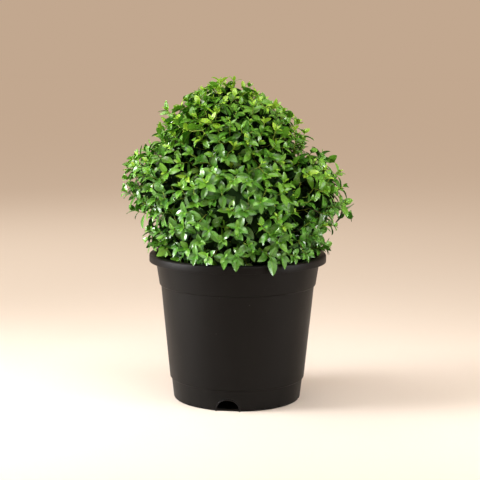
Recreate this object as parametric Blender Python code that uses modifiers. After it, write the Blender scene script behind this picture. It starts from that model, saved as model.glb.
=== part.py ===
"""Potted orange jasmine ball: a clipped evergreen shrub in a round black nursery pot.

Metres, +Z up. The origin is on the ground under the pot's axis, and the plant's front faces -Y.
"""

import math
import random

import bmesh
import bpy
from mathutils import Matrix, Vector

OBJECT_NAME = "potted_orange_jasmine"
CLEARANCE = 0.0003  # gap between two solids that touch

# Pot: a moulded nursery pot with a folded rim, an upper band and a foot band
POT_SIDES = 44
POT_HEIGHT = 0.207
WALL = 0.0022
FLOOR = 0.0025
RIM_RADIUS = 0.125
RIM_HEIGHT = 0.0108
RIM_TOP_WIDTH = 0.0086
RIM_ROUND = 0.0026
NECK_RADIUS = 0.1162
SHOULDER_RADIUS = 0.1107
SHOULDER_Z = 0.164
SHOULDER_STEP = 0.0022
ANKLE_RADIUS = 0.0956
ANKLE_Z = 0.0307
ANKLE_STEP = 0.0022
STEP_DROP = 0.0014  # each step's fall over its width
BASE_RADIUS = 0.0900
FOOT_ROUND = 0.0022
INNER_LIFT = 0.001  # the inside of a step lies this much higher than its outside

# Drain arches cut through the wall at the ground, and shallow notches in the foot's edge
ARCH_COUNT = 3
ARCH_TURN = math.radians(-7.8)  # from the front, towards +X
ARCH_HALF_WIDTH = 0.0158
ARCH_HEIGHT = 0.0162
ARCH_SQUARENESS = 2.2
ARCH_INNER_RADIUS = 0.0868
NOTCHES = ((31, 0.0060), (47, 0.0066), (84, 0.0090), (98, 0.0125))  # degrees from an arch, width
NOTCH_HEIGHT = 0.0024
NOTCH_INNER_RADIUS = 0.0881

# Potting mix
MIX_TOP = 0.186
MIX_FALL = 0.003  # from the flat middle to the wall
MIX_FLAT_RADIUS = 0.045

# Trunk, with horizontal sections
TRUNK_SIDES = 12
TRUNK_RINGS = 11
TRUNK_FOOT = Vector((0.004, 0.003, MIX_TOP + CLEARANCE))
TRUNK_TIP = Vector((-0.015, 0.001, 0.350))
TRUNK_BEND = 0.007
TRUNK_FOOT_RADIUS = 0.0088
TRUNK_TIP_RADIUS = 0.0040
ROOT_FLARE = 0.0068
ROOT_FLARE_HEIGHT = 0.011
ROOT_LOBES = 5
ROOT_LOBE_DEPTH = 0.32

# Boughs
BOUGH_POINTS = 4
BOUGH_FOOT_RADIUS = 0.0041
BOUGH_TIP_RADIUS = 0.0023
BOUGH_REACH = 0.046  # how far from the trunk's axis a bough ends
BOUGH_ARCH = 0.004
LIMB_MARGIN = 0.0012

# Crown: the outline is the union of these ellipsoids, each a centre and its half-sizes
CROWN_MIDDLE = Vector((-0.002, 0.0, 0.295))
PEAK = (Vector((-0.0225, 0.0, 0.4137)), Vector((0.046, 0.054, 0.0455)))
DOME = (Vector((-0.012, 0.0, 0.353)), Vector((0.111, 0.108, 0.092)))
LEFT_LOBE = (Vector((-0.094, -0.006, 0.308)), Vector((0.072, 0.084, 0.060)))
RIGHT_LOBE = (Vector((0.088, -0.008, 0.290)), Vector((0.0705, 0.084, 0.070)))
FRONT_LOBE = (Vector((0.004, -0.064, 0.282)), Vector((0.104, 0.082, 0.078)))
BACK_LOBE = (Vector((-0.008, 0.068, 0.290)), Vector((0.104, 0.080, 0.082)))
SKIRT = (Vector((0.001, 0.0, 0.230)), Vector((0.135, 0.134, 0.078)))
LOBES = (PEAK, DOME, LEFT_LOBE, RIGHT_LOBE, FRONT_LOBE, BACK_LOBE, SKIRT)
MARCH_STEP = 0.001
CROWN_REACH = 0.24

# Masses of foliage: where each has its middle, and the height at which its bough leaves the trunk
MASSES = {
    "top": (Vector((-0.018, 0.000, 0.404)), None),
    "upper_front": (Vector((-0.014, -0.084, 0.352)), 0.312),
    "upper_back": (Vector((-0.012, 0.084, 0.354)), 0.318),
    "left": (Vector((-0.112, -0.006, 0.308)), 0.284),
    "right": (Vector((0.108, -0.006, 0.290)), 0.272),
    "front_left": (Vector((-0.058, -0.096, 0.268)), 0.246),
    "front_right": (Vector((0.054, -0.098, 0.264)), 0.238),
    "back_left": (Vector((-0.060, 0.094, 0.272)), 0.254),
    "back_right": (Vector((0.056, 0.094, 0.268)), 0.230),
    "lower_left": (Vector((-0.108, 0.002, 0.234)), 0.222),
    "lower_right": (Vector((0.106, 0.000, 0.232)), 0.214),
}
SPACE_MARGIN = 0.0006  # half the gap between two neighbouring spaces
CORE_DEPTH = 0.039  # from the crown's outline to a core
CORE_MARGIN = 0.0003
CORE_FLOOR = MIX_TOP + 0.0025
CORE_SUBDIVISIONS = 3

# Twigs: three-sided, from a mass's stem to tips spread over the crown
TIP_SPACING = 0.0312
TIP_DEPTH = 0.0185
TIP_TRIALS = 4000
TIP_LOWEST = 0.2045
FIRST_TIPS = (  # tips of the furthest shoots, at the top, left, right, front and back
    Vector((-0.019, -0.004, 0.436)),
    Vector((-0.146, -0.010, 0.296)),
    Vector((0.142, -0.016, 0.264)),
    Vector((0.010, -0.124, 0.262)),
    Vector((-0.008, 0.126, 0.284)),
)
RING_COUNT = 19  # tips just over the pot's rim, all round
RING_RADIUS = 0.111
RING_HEIGHT = 0.0130  # over the rim
TWIG_SIDES = 3
TWIG_TIP_RADIUS = 0.0011
TWIG_SHARE_RADIUS = 0.00055  # added for the square root of how many tips a twig feeds
STEM_LENGTH = 0.014
BALANCE = 0.45  # how much the way back to the bough counts when a twig picks where it starts
FORK_STEP = 0.012

# Leaves: opposite pairs, each pair turned a quarter from the last, on a twig's outer end
LEAF_LENGTH = 0.035
LEAF_WIDTH = 0.0195
LEAF_THICKNESS = 0.0011
LEAF_FOLD = 0.0022
LEAF_WIDEST = 0.46
PAIR_COUNT = 3
PAIR_STEP = 0.0085
PAIR_FIRST = 0.0018  # from the twig's tip back to its last pair
ROOT_SINK = 0.0004  # how far past the twig's axis a leaf's root goes
PAIR_ANGLES = tuple(math.radians(degrees) for degrees in (38, 60, 76))  # from the tip backwards
LEAF_SIZES = (1.0, 0.86, 0.72, 0.6)  # tried in turn until one fits its space
OUTWARD_PULL = 0.5  # how far a twig's end bends out of the crown
LEAF_TO_LIGHT = 0.35
LEAF_MARKS = (0.4, 0.7, 1.0)  # places along a leaf that keep clear of other leaves' places
LEAF_APART = 0.0075
OUTLINE_SLACK = 0.003
SEED = 41


def new_material(name, colour, roughness, metallic=0.0):
    """A plain Principled material."""
    material = bpy.data.materials.new(name)
    material.use_nodes = True
    shader = material.node_tree.nodes["Principled BSDF"]
    shader.inputs["Base Color"].default_value = (*colour, 1.0)
    shader.inputs["Roughness"].default_value = roughness
    shader.inputs["Metallic"].default_value = metallic
    material.diffuse_color = (*colour, 1.0)
    return material


def new_object(name, mesh, collection, material=None):
    """An object for this mesh, linked into the collection."""
    piece = bpy.data.objects.new(name, mesh)
    collection.objects.link(piece)
    if material:
        mesh.materials.append(material)
    return piece


def face_outwards(build):
    """Turns every face of a closed bmesh outwards, after its corners were moved."""
    build.normal_update()
    bmesh.ops.recalc_face_normals(build, faces=build.faces)


def mesh_from(build, name):
    """A mesh from a bmesh, which is freed."""
    mesh = bpy.data.meshes.new(name)
    build.to_mesh(mesh)
    build.free()
    return mesh


def drop(piece):
    """Removes an object and its mesh."""
    mesh = piece.data
    bpy.data.objects.remove(piece)
    bpy.data.meshes.remove(mesh)


def apply_modifiers(piece):
    """Replaces an object's mesh by its evaluated one."""
    graph = bpy.context.evaluated_depsgraph_get()
    mesh = bpy.data.meshes.new_from_object(piece.evaluated_get(graph))
    old = piece.data
    piece.modifiers.clear()
    piece.data = mesh
    bpy.data.meshes.remove(old)


def subtract(piece, cutter):
    """Adds a Boolean cut to a piece."""
    cut = piece.modifiers.new(cutter.name, "BOOLEAN")
    cut.operation = "DIFFERENCE"
    cut.object = cutter
    cut.solver = "EXACT"


def as_cutter(piece):
    """Marks an object as a helper that is not part of the model."""
    piece.hide_render = True
    piece.display_type = "WIRE"
    return piece


def turned(name, profile, collection, material):
    """A solid of revolution about Z from an (r, z) profile whose outer side runs downwards."""
    build = bmesh.new()
    corners = [build.verts.new((radius, 0.0, height)) for radius, height in profile]
    for start, end in zip(corners, corners[1:]):
        build.edges.new((start, end))
    piece = new_object(name, mesh_from(build, name), collection, material)
    turn = piece.modifiers.new("turn", "SCREW")
    turn.steps = POT_SIDES
    turn.render_steps = POT_SIDES
    turn.use_merge_vertices = True
    turn.merge_threshold = 0.00001
    turn.use_smooth_shade = False
    return piece


def wall_levels():
    """The pot's outer wall below the rim, from the top down to the foot, as (r, z)."""
    return [
        (SHOULDER_RADIUS, SHOULDER_Z),
        (SHOULDER_RADIUS - SHOULDER_STEP, SHOULDER_Z - STEP_DROP),
        (ANKLE_RADIUS, ANKLE_Z),
        (ANKLE_RADIUS - ANKLE_STEP, ANKLE_Z - STEP_DROP),
    ]


def inner_levels():
    """The pot's inner wall from the floor up to the neck, as (r, z)."""
    corner = BASE_RADIUS - WALL
    levels = [(corner - INNER_LIFT, FLOOR), (corner, FLOOR + INNER_LIFT)]
    levels += [(radius - WALL, height + INNER_LIFT) for radius, height in reversed(wall_levels())]
    return levels + [(NECK_RADIUS - WALL, POT_HEIGHT - 0.75 * RIM_HEIGHT)]


def rim_levels():
    """The folded rim, from its inner edge over the flat top to the groove under it, as (r, z)."""
    inner = RIM_RADIUS - RIM_TOP_WIDTH
    bottom = POT_HEIGHT - RIM_HEIGHT
    fold = POT_HEIGHT - WALL
    levels = [(inner, POT_HEIGHT - 0.0007), (inner + 0.0007, POT_HEIGHT)]
    for step in range(4):
        angle = math.radians(30 * step)
        across = RIM_RADIUS - RIM_ROUND * (1 - math.sin(angle))
        levels.append((across, POT_HEIGHT - RIM_ROUND * (1 - math.cos(angle))))
    levels += [(RIM_RADIUS, bottom + 0.0006), (RIM_RADIUS - 0.0006, bottom)]
    levels += [(RIM_RADIUS - WALL, bottom), (RIM_RADIUS - WALL, fold)]
    return levels + [(NECK_RADIUS + 2 * WALL, fold), (NECK_RADIUS, fold - 2.2 * WALL)]


def arch_cutter(number, collection):
    """A squarish arch along the pot's radius, whose lower half is under the ground."""
    build = bmesh.new()
    depth = BASE_RADIUS + 0.01 - ARCH_INNER_RADIUS
    bmesh.ops.create_cone(
        build, cap_ends=True, segments=24, radius1=1.0, radius2=1.0, depth=depth
    )
    power = 2.0 / ARCH_SQUARENESS
    for corner in build.verts:
        across = math.copysign(abs(corner.co.x) ** power, corner.co.x)
        up = math.copysign(abs(corner.co.y) ** power, corner.co.y)
        corner.co = (ARCH_HALF_WIDTH * across, corner.co.z, ARCH_HEIGHT * up)
    face_outwards(build)
    cutter = new_object(f"arch_cutter_{number}", mesh_from(build, "arch"), collection)
    turn = ARCH_TURN + number * math.tau / ARCH_COUNT
    radius = ARCH_INNER_RADIUS + depth / 2
    cutter.rotation_euler = (0, 0, turn)
    cutter.location = (radius * math.sin(turn), -radius * math.cos(turn), 0)
    return as_cutter(cutter)


def notch_cutter(number, turn, width, collection):
    """A low box that nicks the foot's outer edge."""
    build = bmesh.new()
    bmesh.ops.create_cube(build, size=1.0)
    bmesh.ops.scale(build, vec=(width, 0.01, 2 * NOTCH_HEIGHT), verts=build.verts)
    cutter = new_object(f"notch_cutter_{number}", mesh_from(build, "notch"), collection)
    radius = NOTCH_INNER_RADIUS + 0.005
    cutter.rotation_euler = (0, 0, turn)
    cutter.location = (radius * math.sin(turn), -radius * math.cos(turn), 0)
    return as_cutter(cutter)


def make_pot(collection, cutters):
    """The pot: a turned shell with its drain arches and foot notches cut out."""
    profile = [(0.0, FLOOR), *inner_levels(), *rim_levels(), *wall_levels()]
    for step in range(3):
        angle = math.radians(45 * step)
        inset = BASE_RADIUS - FOOT_ROUND * (1 - math.cos(angle))
        profile.append((inset, FOOT_ROUND * (1 - math.sin(angle))))
    profile.append((0.0, 0.0))
    black = new_material("pot_plastic", (0.022, 0.020, 0.019), 0.5)
    pot = turned("pot", profile, collection, black)
    for number in range(ARCH_COUNT):
        subtract(pot, arch_cutter(number, cutters))
        arch_turn = ARCH_TURN + number * math.tau / ARCH_COUNT
        for place, (degrees, width) in enumerate(NOTCHES):
            turn = arch_turn + math.radians(degrees)
            name = number * len(NOTCHES) + place
            subtract(pot, notch_cutter(name, turn, width, cutters))
    return pot


def make_mix(collection):
    """The potting mix that fills the pot, a hair clear of its inner wall."""
    side = [(radius - CLEARANCE, height + CLEARANCE) for radius, height in inner_levels()]
    below = [level for level in side if level[1] < MIX_TOP - MIX_FALL]
    (low_r, low_z), (high_r, high_z) = side[-2:]
    edge_z = MIX_TOP - MIX_FALL
    edge_r = low_r + (high_r - low_r) * (edge_z - low_z) / (high_z - low_z)
    profile = [(0.0, MIX_TOP), (MIX_FLAT_RADIUS, MIX_TOP), (edge_r, edge_z)]
    profile += list(reversed(below)) + [(0.0, FLOOR + CLEARANCE)]
    brown = new_material("potting_mix", (0.045, 0.028, 0.018), 0.95)
    return turned("potting_mix", profile, collection, brown)


def trunk_point(share):
    """A point of the trunk's axis, from its foot at 0 to its tip at 1."""
    point = TRUNK_FOOT.lerp(TRUNK_TIP, share)
    point.x += TRUNK_BEND * math.sin(math.tau * share) * (1 - share)
    point.y += TRUNK_BEND * math.sin(math.pi * share)
    return point


def trunk_share(height):
    """The place along the trunk that lies at this height."""
    return (height - TRUNK_FOOT.z) / (TRUNK_TIP.z - TRUNK_FOOT.z)


def trunk_radius(share, angle=0.0):
    """The trunk's radius, with its lobed root flare near the foot."""
    rise = share * (TRUNK_TIP.z - TRUNK_FOOT.z)
    flare = ROOT_FLARE * math.exp(-rise / ROOT_FLARE_HEIGHT)
    flare *= 1 + ROOT_LOBE_DEPTH * math.cos(ROOT_LOBES * angle)
    return TRUNK_FOOT_RADIUS + (TRUNK_TIP_RADIUS - TRUNK_FOOT_RADIUS) * share + flare


def trunk_mesh(extra=0.0):
    """The trunk lofted through its rings, which lie closer together near the foot."""
    build = bmesh.new()
    rings = []
    for level in range(TRUNK_RINGS):
        share = (level / (TRUNK_RINGS - 1)) ** 1.8
        middle = trunk_point(share)
        ring = []
        for side in range(TRUNK_SIDES):
            angle = math.tau * side / TRUNK_SIDES
            radius = trunk_radius(share, angle) + extra
            out = Vector((math.cos(angle), math.sin(angle), 0.0))
            ring.append(build.verts.new(middle + radius * out))
        rings.append(ring)
    for low, high in zip(rings, rings[1:]):
        for side in range(TRUNK_SIDES):
            after = (side + 1) % TRUNK_SIDES
            build.faces.new((low[side], low[after], high[after], high[side]))
    build.faces.new(tuple(reversed(rings[0])))
    build.faces.new(rings[-1])
    return mesh_from(build, "trunk")


def bough_path(mass):
    """The points of the bough that carries a mass, from the trunk's axis to its tip."""
    anchor, height = MASSES[mass]
    start = trunk_point(trunk_share(height))
    way = anchor - start
    level = Vector((way.x, way.y, 0.0))
    end = start + way * (BOUGH_REACH / level.length)
    points = []
    for number in range(BOUGH_POINTS):
        share = number / (BOUGH_POINTS - 1)
        point = start.lerp(end, share)
        point.z -= BOUGH_ARCH * math.sin(math.pi * share)
        points.append(point)
    return points


def bough_radius(share):
    """A bough's radius, with a small collar where it leaves the trunk."""
    taper = BOUGH_FOOT_RADIUS + (BOUGH_TIP_RADIUS - BOUGH_FOOT_RADIUS) * share
    return taper + 0.0012 * math.exp(-share / 0.22)


def make_bough(mass, collection, cutters, material):
    """One tapering bough, cut at its foot to the trunk's surface."""
    path = bough_path(mass)
    curve = bpy.data.curves.new("bough_curve", "CURVE")
    curve.dimensions = "3D"
    curve.bevel_depth = 1.0
    curve.bevel_resolution = 2
    curve.use_fill_caps = True
    spline = curve.splines.new("POLY")
    spline.points.add(len(path) - 1)
    for number, (corner, point) in enumerate(zip(spline.points, path)):
        corner.co = (*point, 1.0)
        corner.radius = bough_radius(number / (len(path) - 1))
    guide = bpy.data.objects.new("bough_guide", curve)
    collection.objects.link(guide)
    graph = bpy.context.evaluated_depsgraph_get()
    mesh = bpy.data.meshes.new_from_object(guide.evaluated_get(graph))
    bpy.data.objects.remove(guide)
    bpy.data.curves.remove(curve)
    build = bmesh.new()
    build.from_mesh(mesh)
    bmesh.ops.remove_doubles(build, verts=build.verts, dist=0.00001)
    face_outwards(build)
    bpy.data.meshes.remove(mesh)
    bough = new_object(f"bough_{mass}", mesh_from(build, "bough"), collection, material)
    subtract(bough, cutters.objects["trunk_space"])
    return bough


def make_limbs(collection, cutters):
    """The trunk and the boughs that leave it."""
    bark = new_material("bark", (0.20, 0.14, 0.09), 0.85)
    new_object("trunk", trunk_mesh(), collection, bark)
    as_cutter(new_object("trunk_space", trunk_mesh(CLEARANCE), cutters))
    for mass, (_, height) in MASSES.items():
        if height:
            make_bough(mass, collection, cutters, bark)


def lobe_level(point, lobe):
    """How far out a point is in an ellipsoid: 0 at its centre, 1 on its surface."""
    centre, half = lobe
    away = point - centre
    return Vector((away.x / half.x, away.y / half.y, away.z / half.z)).length


def in_crown(point, slack=0.0):
    """Whether a point is inside the crown's outline, or within slack of it."""
    for centre, half in LOBES:
        grown = half + Vector((slack, slack, slack))
        if lobe_level(point, (centre, grown)) <= 1.0:
            return True
    return False


def crown_surface(direction):
    """Where a ray from the crown's middle leaves the crown's outline."""
    reach = CROWN_REACH
    while reach > 0 and not in_crown(CROWN_MIDDLE + reach * direction):
        reach -= MARCH_STEP
    return CROWN_MIDDLE + reach * direction


def stem_start(mass):
    """The foot of a mass's stem and its direction, just clear of the limb that carries it."""
    if MASSES[mass][1] is None:
        return TRUNK_TIP + Vector((0, 0, CLEARANCE)), Vector((0, 0, 1))
    path = bough_path(mass)
    way = (path[-1] - path[-2]).normalized()
    return path[-1] + CLEARANCE * way, way


def mass_space(mass):
    """The half-spaces that bound a mass, each as a point on its plane and the way inwards."""
    anchor = MASSES[mass][0]
    walls = [stem_start(mass)]
    for other, (middle, _) in MASSES.items():
        if other != mass:
            inwards = (anchor - middle).normalized()
            walls.append(((anchor + middle) / 2 + SPACE_MARGIN * inwards, inwards))
    return walls


def in_space(point, walls, margin=0.0):
    """Whether a point is inside all the half-spaces, by this margin."""
    return all((point - spot).dot(inwards) >= margin - 1e-7 for spot, inwards in walls)


def clear_of_pot(point):
    """Whether a point is above the rim, outside it, or inside it above the potting mix."""
    radius = math.hypot(point.x, point.y)
    if point.z > POT_HEIGHT + LIMB_MARGIN:
        return True
    if radius > RIM_RADIUS + LIMB_MARGIN:
        return point.z > POT_HEIGHT - 3 * RIM_HEIGHT
    return radius < NECK_RADIUS - 2 * WALL and point.z > MIX_TOP + LIMB_MARGIN


def limb_segments():
    """The trunk and the boughs as straight pieces with a radius each."""
    count = 8
    shares = [number / count for number in range(count + 1)]
    segments = [
        (trunk_point(low), trunk_point(high), trunk_radius(low))
        for low, high in zip(shares, shares[1:])
    ]
    for mass, (_, height) in MASSES.items():
        if height:
            path = bough_path(mass)
            segments += [(low, high, BOUGH_FOOT_RADIUS) for low, high in zip(path, path[1:])]
    return segments


def clear_of_limbs(point, segments):
    """Whether a point is clear of the trunk and every bough."""
    for low, high, radius in segments:
        along = high - low
        share = min(1.0, max(0.0, (point - low).dot(along) / along.length_squared))
        if (point - low - share * along).length < radius + LIMB_MARGIN:
            return False
    return True


def outwards(point):
    """The way out of the crown at this point."""
    return (point - CROWN_MIDDLE).normalized()


def spread_tips(chance):
    """Twig tips spread evenly under the crown's outline."""
    tips = list(FIRST_TIPS)
    for number in range(RING_COUNT):
        turn = math.tau * (number + chance.uniform(-0.15, 0.15)) / RING_COUNT
        level = POT_HEIGHT + RING_HEIGHT + chance.uniform(-0.004, 0.004)
        tips.append(Vector((RING_RADIUS * math.cos(turn), RING_RADIUS * math.sin(turn), level)))
    for _ in range(TIP_TRIALS):
        height = chance.uniform(-1.0, 1.0)
        turn = chance.uniform(0.0, math.tau)
        level = math.sqrt(1.0 - height * height)
        out = Vector((level * math.cos(turn), level * math.sin(turn), height))
        tip = crown_surface(out) - TIP_DEPTH * out
        if tip.z < TIP_LOWEST or not clear_of_pot(tip):
            continue
        if all((tip - other).length >= TIP_SPACING for other in tips):
            tips.append(tip)
    return tips


def grow_twigs(mass, tips):
    """A mass's stem and its twigs, each as [start, end, the twig that carries it, tips fed].

    Each tip, nearest first, starts from the node that costs it the shortest way, where part of
    the way from there back to the bough counts too.
    """
    foot, way = stem_start(mass)
    head = foot + STEM_LENGTH * way
    twigs = [[foot, head, None, 0]]
    nodes = [(head, STEM_LENGTH, 0)]  # a point, its way back to the bough, and its twig
    for tip in sorted(tips, key=lambda point: (point - foot).length):
        costs = [(tip - point).length + BALANCE * way_back for point, way_back, _ in nodes]
        origin, way_back, carrier = nodes[costs.index(min(costs))]
        run = tip - origin
        number = len(twigs)
        twigs.append([origin, tip, carrier, 0])
        count = max(1, round(run.length / FORK_STEP))
        for step in range(1, count + 1):
            share = step / count
            nodes.append((origin + share * run, way_back + share * run.length, number))
        while number is not None:
            twigs[number][3] += 1
            number = twigs[number][2]
    return twigs


def twig_mesh(start, end, start_radius, end_radius):
    """A three-sided tapering twig."""
    build = bmesh.new()
    run = end - start
    turn = Vector((0, 0, 1)).rotation_difference(run).to_matrix().to_4x4()
    place = Matrix.Translation((start + end) / 2) @ turn
    bmesh.ops.create_cone(
        build,
        cap_ends=True,
        segments=TWIG_SIDES,
        radius1=start_radius,
        radius2=end_radius,
        depth=run.length,
        matrix=place,
    )
    return mesh_from(build, "twig")


def leaf_frame(root, along, upper):
    """A matrix with the leaf's root at its origin, X along the leaf and Z out of its upper face."""
    normal = (upper - upper.dot(along) * along).normalized()
    across = normal.cross(along)
    turn = Matrix((along, across, normal)).transposed().to_4x4()
    return Matrix.Translation(root) @ turn


def leaf_build(frame, size):
    """An eight-faced leaf: a flattened octahedron, folded up along its midrib."""
    build = bmesh.new()
    bmesh.ops.create_uvsphere(build, u_segments=4, v_segments=2, radius=1.0)
    for corner in build.verts:
        x, y, z = corner.co
        length = LEAF_LENGTH * size
        along = length * (LEAF_WIDEST if abs(z) < 0.5 else 1.0 if z > 0 else 0.0)
        rise = LEAF_FOLD * size * abs(x) + 0.5 * LEAF_THICKNESS * y
        corner.co = frame @ Vector((along, 0.5 * LEAF_WIDTH * size * x, rise))
    face_outwards(build)
    return build


def leaf_marks(frame, size):
    """Places along a leaf's midrib."""
    return [frame @ Vector((share * size * LEAF_LENGTH, 0.0, 0.0)) for share in LEAF_MARKS]


def apart(marks, others):
    """Whether these places are all clear of the others."""
    return all((mark - other).length >= LEAF_APART for mark in marks for other in others)


def leaf_samples(build):
    """Points on a leaf's corners and along its edges."""
    samples = [corner.co.copy() for corner in build.verts]
    for edge in build.edges:
        first, last = edge.verts[0].co, edge.verts[1].co
        samples += [first.lerp(last, share) for share in (0.25, 0.5, 0.75)]
    return samples


def in_core(point):
    """Whether a point is deep inside the crown, where the cores are."""
    return point.z > CORE_FLOOR and in_crown(point + CORE_DEPTH * outwards(point))


def fits(points, walls, segments):
    """Whether these points keep to the mass's space, out of its core, the limbs and the pot."""
    return all(
        in_space(point, walls)
        and not in_core(point)
        and in_crown(point, OUTLINE_SLACK)
        and clear_of_pot(point)
        and clear_of_limbs(point, segments)
        for point in points
    )


def leaf_meshes(start, tip, walls, segments, others, chance):
    """The leaves at a twig's outer end: opposite pairs, each a quarter turn from the last."""
    run = tip - start
    way = (run.normalized() + OUTWARD_PULL * outwards(tip)).normalized()
    side = way.orthogonal().normalized()
    side.rotate(Matrix.Rotation(chance.uniform(0, math.pi), 3, way))
    meshes = []
    for pair in range(PAIR_COUNT):
        back = min(PAIR_FIRST + pair * PAIR_STEP, 0.92 * run.length)
        joint = tip - back * run.normalized()
        for hand in (1, -1):
            angle = PAIR_ANGLES[pair] * chance.uniform(0.85, 1.15)
            along = math.cos(angle) * way + math.sin(angle) * hand * side
            upper = way + LEAF_TO_LIGHT * Vector((0, 0, 1))
            frame = leaf_frame(joint - ROOT_SINK * along, along, upper)
            scale = chance.uniform(0.88, 1.08)
            for size in LEAF_SIZES:
                build = leaf_build(frame, size * scale)
                marks = leaf_marks(frame, size * scale)
                if apart(marks, others) and fits(leaf_samples(build), walls, segments):
                    meshes.append(mesh_from(build, "leaf"))
                    others += marks
                    break
                build.free()
        side.rotate(Matrix.Rotation(math.pi / 2, 3, way))
    return meshes


def core_mesh(mass, walls):
    """The dense inside of a mass: the crown's inner ball, cut flat along the mass's walls."""
    build = bmesh.new()
    bmesh.ops.create_icosphere(build, subdivisions=CORE_SUBDIVISIONS, radius=1.0)
    for corner in build.verts:
        way = corner.co.normalized()
        corner.co = crown_surface(way) - CORE_DEPTH * way
    cuts = [(spot + CORE_MARGIN * inwards, inwards) for spot, inwards in walls]
    cuts.append((Vector((0.0, 0.0, CORE_FLOOR)), Vector((0.0, 0.0, 1.0))))
    for spot, inwards in cuts:
        geometry = build.verts[:] + build.edges[:] + build.faces[:]
        bmesh.ops.bisect_plane(
            build, geom=geometry, plane_co=spot, plane_no=-inwards, dist=1e-7, clear_outer=True
        )
        rim = [edge for edge in build.edges if edge.is_boundary]
        if rim:
            bmesh.ops.triangle_fill(build, use_beauty=True, edges=rim)
    face_outwards(build)
    return mesh_from(build, f"core_{mass}")


def largest_body(mesh):
    """Keeps only the largest connected body of a mesh, without loose scraps."""
    build = bmesh.new()
    build.from_mesh(mesh)
    todo = set(build.verts)
    bodies = []
    while todo:
        reached = [todo.pop()]
        body = set(reached)
        while reached:
            corner = reached.pop()
            for edge in corner.link_edges:
                other = edge.other_vert(corner)
                if other not in body:
                    body.add(other)
                    reached.append(other)
        todo -= body
        bodies.append(body)
    keep = max(bodies, key=len)
    scraps = [corner for corner in build.verts if corner not in keep]
    bmesh.ops.delete(build, geom=scraps, context="VERTS")
    build.to_mesh(mesh)
    build.free()


def fuse(piece, collection):
    """Joins a piece with everything in the collection, whose objects are then removed."""
    join = piece.modifiers.new("join", "BOOLEAN")
    join.operation = "UNION"
    join.operand_type = "COLLECTION"
    join.collection = collection
    join.solver = "MANIFOLD"
    apply_modifiers(piece)
    for part in list(collection.objects):
        drop(part)
    bpy.data.collections.remove(collection)
    largest_body(piece.data)


def make_mass(mass, tips, segments, collection, material):
    """One mass of foliage: its core, stem, twigs and leaves, fused into one body."""
    chance = random.Random(f"{mass}-{SEED}")
    walls = mass_space(mass)
    parts = bpy.data.collections.new(f"parts_{mass}")
    bpy.context.scene.collection.children.link(parts)
    marks = []
    for number, (start, end, _, fed) in enumerate(grow_twigs(mass, tips)):
        radius = TWIG_TIP_RADIUS + TWIG_SHARE_RADIUS * (math.sqrt(fed) - 1)
        new_object("twig", twig_mesh(start, end, radius, TWIG_TIP_RADIUS), parts)
        if number > 0:
            for mesh in leaf_meshes(start, end, walls, segments, marks, chance):
                new_object("leaf", mesh, parts)
    piece = new_object(f"foliage_{mass}", core_mesh(mass, walls), collection)
    fuse(piece, parts)
    piece.data.materials.clear()
    piece.data.materials.append(material)
    return piece


def make_foliage(collection):
    """All the masses of foliage, each with the tips that lie in its space."""
    green = new_material("leaf_green", (0.09, 0.26, 0.03), 0.45)
    tips = spread_tips(random.Random(SEED))
    segments = limb_segments()
    for mass in MASSES:
        walls = mass_space(mass)
        own = [tip for tip in tips if in_space(tip, walls, TWIG_TIP_RADIUS)]
        make_mass(mass, own, segments, collection, green)


def main():
    for old in list(bpy.data.objects):
        bpy.data.objects.remove(old)
    model = bpy.data.collections.new(OBJECT_NAME)
    cutters = bpy.data.collections.new("cutters")
    bpy.context.scene.collection.children.link(model)
    bpy.context.scene.collection.children.link(cutters)
    make_pot(model, cutters)
    make_mix(model)
    make_limbs(model, cutters)
    make_foliage(model)


main()
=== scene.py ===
"""Looks of the potted orange jasmine ball: a dense, clipped crown in a black nursery pot.

Metres, +Z up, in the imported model's frame: the origin is on the ground under the pot's axis, and
the plant's front faces -Y. The pot, its mix, the trunk and boughs and the masses of foliage are
replaced by finer pieces of the same size. The twigs grow by the rule of the part's own source,
carried on to many more tips.
"""

import random
from math import copysign, cos, exp, hypot, pi, radians, sin, sqrt, tan, tau

import bmesh
import bpy
import numpy as np
from mathutils import Matrix, Vector, noise

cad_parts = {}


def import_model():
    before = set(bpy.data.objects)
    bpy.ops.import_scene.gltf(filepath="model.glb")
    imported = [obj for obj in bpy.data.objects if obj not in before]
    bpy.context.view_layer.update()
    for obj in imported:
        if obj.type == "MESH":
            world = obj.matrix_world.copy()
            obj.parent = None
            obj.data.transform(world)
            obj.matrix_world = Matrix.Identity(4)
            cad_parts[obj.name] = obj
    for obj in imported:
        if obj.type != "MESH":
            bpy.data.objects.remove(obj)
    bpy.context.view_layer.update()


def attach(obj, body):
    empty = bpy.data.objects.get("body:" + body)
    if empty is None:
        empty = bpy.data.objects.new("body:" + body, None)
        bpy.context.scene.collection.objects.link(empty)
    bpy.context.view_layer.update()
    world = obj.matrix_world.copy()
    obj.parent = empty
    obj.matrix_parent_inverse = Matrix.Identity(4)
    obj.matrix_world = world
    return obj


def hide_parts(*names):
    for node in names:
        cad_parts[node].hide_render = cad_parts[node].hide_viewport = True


BODY = "root"
UP = Vector((0.0, 0.0, 1.0))

# Camera: a long lens that looks down a little on the middle of the plant
CAMERA_TARGET = Vector((0.003, 0.0, 0.225))
CAMERA_DISTANCE = 1.81
CAMERA_PITCH = radians(8.0)
CAMERA_LENS = 96.0
CAMERA_ROLL = radians(0.4)

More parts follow.
